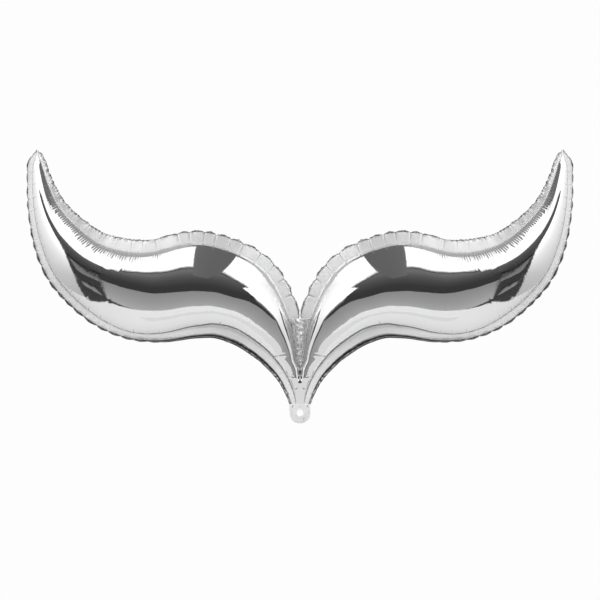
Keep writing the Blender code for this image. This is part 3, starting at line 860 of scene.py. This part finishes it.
def makeWeld():
    inside = (upperSeam[:, 1] < chamber["notchZ"] - 0.3) & (upperSeam[:, 1] > weld["footZ"])
    seam = upperSeam[inside]
    zs = np.linspace(seam[0, 1], seam[-1, 1], round((seam[0, 1] - seam[-1, 1]) / weld["step"]) + 1)[:, None]
    half = np.interp(-zs, -seam[:, 1], -seam[:, 0]) + weld["tuck"]
    share = np.linspace(-1.0, 1.0, weld["rowsAcross"] + 1)[None, :]
    x = half * share
    inward = np.maximum(half - weld["tuck"] - np.abs(x), 0.0)
    lean = np.radians(np.interp(zs, (weld["footZ"], chamber["notchZ"]), (weld["leanFoot"], weld["leanTop"])))
    ridgeHalf = np.minimum(weld["ridgeHalf"], 0.45 * half)
    ridge = np.exp(-(x / ridgeHalf) ** 4)
    phase = 2 * math.pi * zs / weld["puckerPitch"] + 1.3 * np.sin(zs / 9.0)
    pucker = weld["puckerDepth"] * np.cos(phase + 0.5 * x) * ridge
    y = np.tan(lean) * inward - ridge * np.minimum(weld["ridgeHeight"], 0.3 * half) - pucker
    points = np.stack([x, y, zs + 0 * x], axis=2) * mm
    wide = x.shape[1]
    faces = [(i * wide + k, i * wide + k + 1, (i + 1) * wide + k + 1, (i + 1) * wide + k)
             for i in range(len(zs) - 1) for k in range(wide - 1)]
    edge = 1 - np.abs(share) ** 6 + 0 * x
    piece = newPiece("centreWeld", points.reshape(-1, 3), faces,
                     dict(edge=edge.ravel(), ridge=ridge.ravel(), lip=np.zeros(edge.size),
                          pucker=(0.5 - 0.5 * np.cos(phase + 0.5 * x)).ravel()))
    tree, given = newTree("crumple", ("Depth", "Grain", "Seed"))
    place = Field(tree, addNode(tree, "GeometryNodeInputPosition").outputs[0])
    parts = addNode(tree, "ShaderNodeSeparateXYZ", {0: place})
    streaked = vector(tree, Field(tree, parts.outputs[0]), given["Seed"], Field(tree, parts.outputs[2]) * 0.22)
    shifted = summed(place, vector(tree, given["Seed"], 0.0, 0.0))
    rough = noise(tree, shifted, given["Grain"], 2.0, 0.6) + noise(tree, shifted, given["Grain"] * 2.3, 1.0) * 0.5
    streaks = noise(tree, streaked, given["Grain"] * 2.6, 2.0, 0.5)
    middle = measure(tree, "ridge")
    mixed = rough * middle + streaks * (1.0 - middle) * 0.7
    lift = vector(tree, 0.0, mixed * given["Depth"] * measure(tree, "edge") * mm, 0.0)
    moved = addNode(tree, "GeometryNodeSetPosition", {"Geometry": given["Geometry"], "Offset": lift})
    # painted shade: dark in the hollows of the crumples, and a little darker on the streaked flanks beside the ridge
    paintedShade = rise(mixed, 0.0, 0.25) * (0.75 - middle * 0.1) + (1.0 - middle) * 0.15
    marked = addNode(tree, "GeometryNodeStoreNamedAttribute",
                     {"Geometry": Field(tree, moved.outputs[0]), "Name": "paintedShade", "Value": paintedShade},
                     data_type="FLOAT", domain="POINT")
    endTree(tree, given, Field(tree, marked.outputs[0]))
    shapeWith(piece, tree, {"Depth": 1.2, "Grain": 300.0, "Seed": 4.0, "Finish": weldFoil})
    solid = piece.modifiers.new("thickness", "SOLIDIFY")
    solid.thickness = weld["thickness"] * mm
    solid.offset = 0.0
    settle(piece, 60.0)
    placed(piece, "centre_weld")
    print("weld: %d faces" % len(piece.data.polygons))


makeWeld()


# Tab: the round tail with its punched hole

tab = dict(radius=11.5, topZ=9.5, holeRadius=3.75, thickness=0.6, rings=14, stepsRound=48, tongue=4.2, tongueTopZ=12.5)


def makeTab():
    outline = []
    half = tab["stepsRound"]
    for k in range(half + 1):
        angle = -math.pi * k / half
        outline.append((tab["radius"] * math.cos(angle), tab["radius"] * math.sin(angle)))
    sideSteps = 10
    for k in range(1, sideSteps + 1):
        outline.append((-tab["radius"], tab["topZ"] * k / sideSteps))
    topSteps = 24
    for k in range(1, topSteps):
        x = tab["radius"] * (2 * k / topSteps - 1)
        outline.append((x, tab["topZ"]))
    for k in range(sideSteps):
        outline.append((tab["radius"], tab["topZ"] * (1 - k / sideSteps)))
    outline = np.array(outline[:-1] if outline[0] == outline[-1] else outline)
    angles = np.arctan2(outline[:, 1], outline[:, 0])
    hole = tab["holeRadius"] * np.stack([np.cos(angles), np.sin(angles)], axis=1)
    count, rings = len(outline), tab["rings"]
    points = np.zeros((rings + 1, count, 3))
    for r in range(rings + 1):
        share = r / rings
        ring = hole * (1 - share) + outline * share
        points[r, :, 0], points[r, :, 2] = ring[:, 0] * mm, ring[:, 1] * mm
    x, z = points[:, :, 0] / mm, points[:, :, 2] / mm
    lift = np.zeros_like(x)
    for cx, cz, angle, length, depth in (
        (-8.2, 7.2, 60, 1.6, 0.45), (8.4, 7.2, 120, 1.6, 0.45), (4.0, -6.2, 40, 1.0, 0.3), (-4.5, 5.0, 20, 0.9, 0.2),
        (1.5, 6.0, 0, 3.5, 0.12), (0.0, 7.6, 0, 6.0, 0.14), (9.0, 0.5, 80, 1.2, 0.16), (-9.4, -2.0, 100, 1.4, 0.16),
    ):
        turn = math.radians(angle)
        u = (x - cx) * math.cos(turn) + (z - cz) * math.sin(turn)
        w = -(x - cx) * math.sin(turn) + (z - cz) * math.cos(turn)
        lift -= depth * np.exp(-(u / length) ** 2 - (w / 0.45) ** 2)
    points[:, :, 1] = -lift * mm
    faces = []
    for r in range(rings):
        for k in range(count):
            a, b = r * count + k, r * count + (k + 1) % count
            faces.append((a, b, b + count, a + count))
    # painted shade in the tab's creases, darker where they sink deeper
    piece = newPiece("tailTab", points.reshape(-1, 3), faces,
                     dict(lip=np.zeros((rings + 1) * count), paintedShade=np.clip(-4.0 * lift.ravel() - 0.2, 0.0, 1.0)))
    piece.data.materials.append(tabFoil)
    solid = piece.modifiers.new("thickness", "SOLIDIFY")
    solid.thickness = tab["thickness"] * mm
    solid.offset = 0.0
    settle(piece, 60.0)
    placed(piece, "tail_tab")
    print("tab: %d faces" % len(piece.data.polygons))


makeTab()


# Studio: a pale floor, soft boxes overhead and at the sides, and a dim room

studio = dict(
    # the floor: its height, the edge of its lit part by distance from the middle, and the size of the whole
    floorZ=-0.6,
    litFloor=((0.0, -0.56), (0.3, -0.58), (0.61, -0.50), (0.88, -0.42), (0.92, -0.15), (0.96, 0.0), (1.02, 0.15),
              (1.21, 0.71), (1.35, 1.5)),
    floorSize=6.0,
    lamps=dict(
        floorLamp=((0.0, 0.2, 1.6), 1.6, 55.0),
        fillLamp=((0.0, -2.2, 0.9), 1.4, 36.0),
    ),
    aim=(0.0, 0.0, 0.0),        # the boxes shine towards this point
    nearCards=("tipCard", "humpCard", "neckCard"),
    # soft boxes, each made twice, left and right. For the right one: its corners; the glow at the first four; and
    # how soft the four borders are, as shares: at the start and end of the way from first to second corner,
    # and at the start and end of the way from there to the other two
    boxes=dict(
        roofInner=(((0.0, -0.80, 1.0), (0.0, 0.66, 1.0), (0.28, 0.66, 1.0), (0.28, -0.74, 1.0)),
                   (1.4, 1.2, 1.2, 1.4), (0.16, 0.06, 0.0, 0.0)),
        roofMiddle=(((0.28, -0.74, 1.0), (0.28, 0.66, 1.0), (0.57, 0.66, 1.0), (0.57, -1.12, 1.0)),
                    (1.4, 1.2, 1.2, 1.4), (0.15, 0.06, 0.0, 0.0)),
        roofOuter=(((0.57, -1.12, 1.0), (0.57, 0.66, 1.0), (1.3, 0.66, 1.0), (1.3, -1.65, 1.0)),
                   (1.4, 1.2, 1.0, 1.2), (0.13, 0.05, 0.0, 0.0)),
        side=(((1.3, -0.79, -0.46), (1.3, 1.6, -0.46), (1.3, 1.6, 1.1), (1.3, -2.20, 1.1)),
              (0.66, 0.55, 0.62, 1.70), (0.006, 0.0, 0.0, 0.0)),
        sideFoot=(((1.3, 0.05, -0.96), (1.3, 1.6, -0.96), (1.3, 1.6, -0.46), (1.3, -0.79, -0.46)),
                  (0.48, 0.48, 0.55, 0.66), (0.006, 0.0, 0.0, 0.0)),
        backMiddle=(((0.0, 1.6, -0.6), (0.33, 1.6, -0.6), (0.33, 0.66, 1.0), (0.0, 0.66, 1.0)),
                    (0.55, 0.55, 0.22, 0.16), (0.0, 0.0, 0.0, 0.0)),
        backSide=(((0.33, 1.6, -0.6), (1.3, 1.6, -0.6), (1.3, 0.66, 1.0), (0.33, 0.66, 1.0)),
                  (0.55, 0.55, 0.60, 0.60), (0.0, 0.0, 0.0, 0.0)),
        table=(((0.0, -1.3, -1.75), (2.1, -1.3, -1.75), (1.14, -1.3, -0.07), (0.0, -1.3, -0.07)),
               (0.46, 0.46, 0.28, 0.28), (0.0, 0.01, 0.0, 0.006)),
        glimmer=(((0.92, -1.3, 0.36), (1.04, -1.3, 0.42), (1.42, -1.3, -0.34), (1.22, -1.3, -0.28)),
                 (0.16, 0.22, 0.26, 0.20), (0.3, 0.1, 0.3, 0.1)),
        lowGlimmer=(((1.72, -1.3, -0.85), (1.95, -1.3, -0.95), (2.5, -1.3, -1.6), (2.15, -1.3, -1.7)),
                    (0.16, 0.22, 0.34, 0.28), (0.3, 0.1, 0.3, 0.1)),
        # small ones close to the balloon: a white card before each tip, and a dark one over each hump
        tipCard=(((0.42, -0.12, 0.283), (0.29, -0.12, 0.283), (0.262, -0.12, 0.250), (0.240, -0.12, 0.215),
                  (0.230, -0.12, 0.240), (0.200, -0.12, 0.300), (0.18, -0.12, 0.42), (0.42, -0.12, 0.42)),
                 (1.2, 1.2, 1.2, 1.2), (0.0, 0.0, 0.0, 0.0)),
        humpCard=(((0.050, -0.20, 0.22), (0.050, 0.50, 0.22), (0.118, 0.50, 0.40), (0.118, -0.45, 0.40)),
                  (0.13, 0.13, 0.16, 0.16), (0.0, 0.0, 0.0, 0.0)),
        neckCard=(((0.0, -0.06, -0.16), (0.2, -0.06, -0.16), (0.2, -0.06, 0.024), (0.0, -0.06, 0.029)),
                  (0.78, 0.78, 0.78, 0.78), (0.0, 0.0, 0.0, 0.0)),
    ),
    # the dim room by height of the view: place from straight down (0) to straight up (1), and level
    room=((0.0, 0.06), (0.43, 0.04), (0.56, 0.045), (0.68, 0.075), (0.76, 0.11), (0.84, 0.17), (0.93, 0.14),
          (1.0, 0.12)),
)


def stagePlane(name, corners, finish):
    mesh = bpy.data.meshes.new(name)
    mesh.from_pydata(corners, [], [tuple(range(len(corners)))])
    layer = mesh.uv_layers.new(name="UVMap")
    square = ((0, 0), (1, 0), (1, 1), (0, 1)) if len(corners) == 4 else ((0.5, 0.5),) * len(corners)
    for loop, uv in zip(layer.data, square):
        loop.uv = uv
    obj = bpy.data.objects.new(name, mesh)
    mesh.materials.append(finish)
    bpy.context.scene.collection.objects.link(obj)
    return obj


def turnTowards(mesh, aim):
    face = mesh.polygons[0]
    if face.normal.dot(Vector(aim) - face.center) < 0:
        mesh.flip_normals()


def glowFinish(name, levels, soft):
    # a soft box: its glow runs from corner to corner and fades at its borders, and it is clear from behind
    finish = bpy.data.materials.new(name)
    finish.use_nodes = True
    tree = finish.node_tree
    tree.nodes.clear()
    uv = addNode(tree, "ShaderNodeSeparateXYZ", {0: Field(tree, addNode(tree, "ShaderNodeTexCoord").outputs["UV"])})
    u, v = Field(tree, uv.outputs[0]), Field(tree, uv.outputs[1])
    start = v * (levels[3] - levels[0]) + levels[0]
    end = v * (levels[2] - levels[1]) + levels[1]
    glow = start + (end - start) * u
    for way, low, high in ((u, soft[0], soft[1]), (v, soft[2], soft[3])):
        if low:
            glow = glow * rise(way, 0.0, low)
        if high:
            glow = glow * rise(way, 1.0, 1.0 - high)
    light = addNode(tree, "ShaderNodeEmission", {"Strength": glow})
    clear = addNode(tree, "ShaderNodeBsdfTransparent")
    behind = Field(tree, addNode(tree, "ShaderNodeNewGeometry").outputs["Backfacing"])
    oneSided = addNode(tree, "ShaderNodeMixShader", {0: behind})
    tree.links.new(light.outputs[0], oneSided.inputs[1])
    tree.links.new(clear.outputs[0], oneSided.inputs[2])
    target = addNode(tree, "ShaderNodeOutputMaterial")
    tree.links.new(oneSided.outputs[0], target.inputs[0])
    return finish


def makeStudio():
    s = studio
    pale, tree, shader = newFinish("paleFloor")
    where = Field(tree, addNode(tree, "ShaderNodeTexCoord").outputs["Object"])
    shader.inputs["Base Color"].default_value = (0.86, 0.86, 0.86, 1)
    feed(tree, shader.inputs["Roughness"], 0.7 + noise(tree, where, 8.0) * 0.05)
    shader.inputs["Specular IOR Level"].default_value = 0.2
    low, half = s["floorZ"], s["floorSize"] / 2
    lit = [(x, y, low) for x, y in s["litFloor"]]
    outline = [(-x, y, z) for x, y, z in lit[:0:-1]] + lit
    stagePlane("litFloor", outline, pale).visible_camera = False
    wide = ((-half, -half, low - 0.01), (half, -half, low - 0.01), (half, half, low - 0.01), (-half, half, low - 0.01))
    stagePlane("floor", wide, pale).visible_glossy = False
    for name, (corners, *glow) in s["boxes"].items():
        finish = glowFinish(name + "Glow", *glow)
        for side in (-1, 1):
            box = stagePlane("%sBox%+d" % (name, side), [(side * x, y, z) for x, y, z in corners], finish)
            box.visible_camera = False
            box.visible_diffuse = name not in s["nearCards"]
            turnTowards(box.data, s["aim"])
    for name, (place, size, energy) in s["lamps"].items():
        lamp = bpy.data.lights.new(name, "AREA")
        lamp.size = size
        lamp.energy = energy
        light = bpy.data.objects.new(name, lamp)
        light.location = place
        light.rotation_euler = Vector(place).to_track_quat("Z", "Y").to_euler()
        light.visible_camera = False
        light.visible_glossy = False
        bpy.context.scene.collection.objects.link(light)

    world = bpy.data.worlds.new("studioRoom")
    world.use_nodes = True
    bpy.context.scene.world = world
    tree = world.node_tree
    tree.nodes.clear()
    way = addNode(tree, "ShaderNodeSeparateXYZ", {0: Field(tree, addNode(tree, "ShaderNodeTexCoord").outputs["Generated"])})
    height = Field(tree, way.outputs[2])
    room = addNode(tree, "ShaderNodeValToRGB", {0: height * 0.5 + 0.5})
    ramp = room.color_ramp
    while len(ramp.elements) < len(s["room"]):
        ramp.elements.new(0.5)
    for element, (place, level) in zip(ramp.elements, s["room"]):
        element.position = place
        element.color = (level, level, level, 1)
    seen = Field(tree, addNode(tree, "ShaderNodeLightPath").outputs["Is Camera Ray"])
    colour = addNode(tree, "ShaderNodeMix", {"Factor": seen}, data_type="RGBA")
    tree.links.new(room.outputs[0], colour.inputs[6])
    colour.inputs[7].default_value = (0.983, 0.983, 0.983, 1)
    sky = addNode(tree, "ShaderNodeBackground")
    tree.links.new(colour.outputs[2], sky.inputs[0])
    target = addNode(tree, "ShaderNodeOutputWorld")
    tree.links.new(sky.outputs[0], target.inputs[0])


makeStudio()


# Camera: square to the balloon, far off

camera = dict(distance=3.0, aimZ=0.1243, frameWidth=0.66)


def makeCamera():
    data = bpy.data.cameras.new("camera")
    data.sensor_width = 36.0
    data.lens = 36.0 * camera["distance"] / camera["frameWidth"]
    obj = bpy.data.objects.new("camera", data)
    obj.location = (0.0, -camera["distance"], camera["aimZ"])
    obj.rotation_euler = (math.pi / 2, 0.0, 0.0)
    bpy.context.scene.collection.objects.link(obj)
    bpy.context.scene.camera = obj
    bpy.context.scene.view_settings.view_transform = "Standard"


makeCamera()
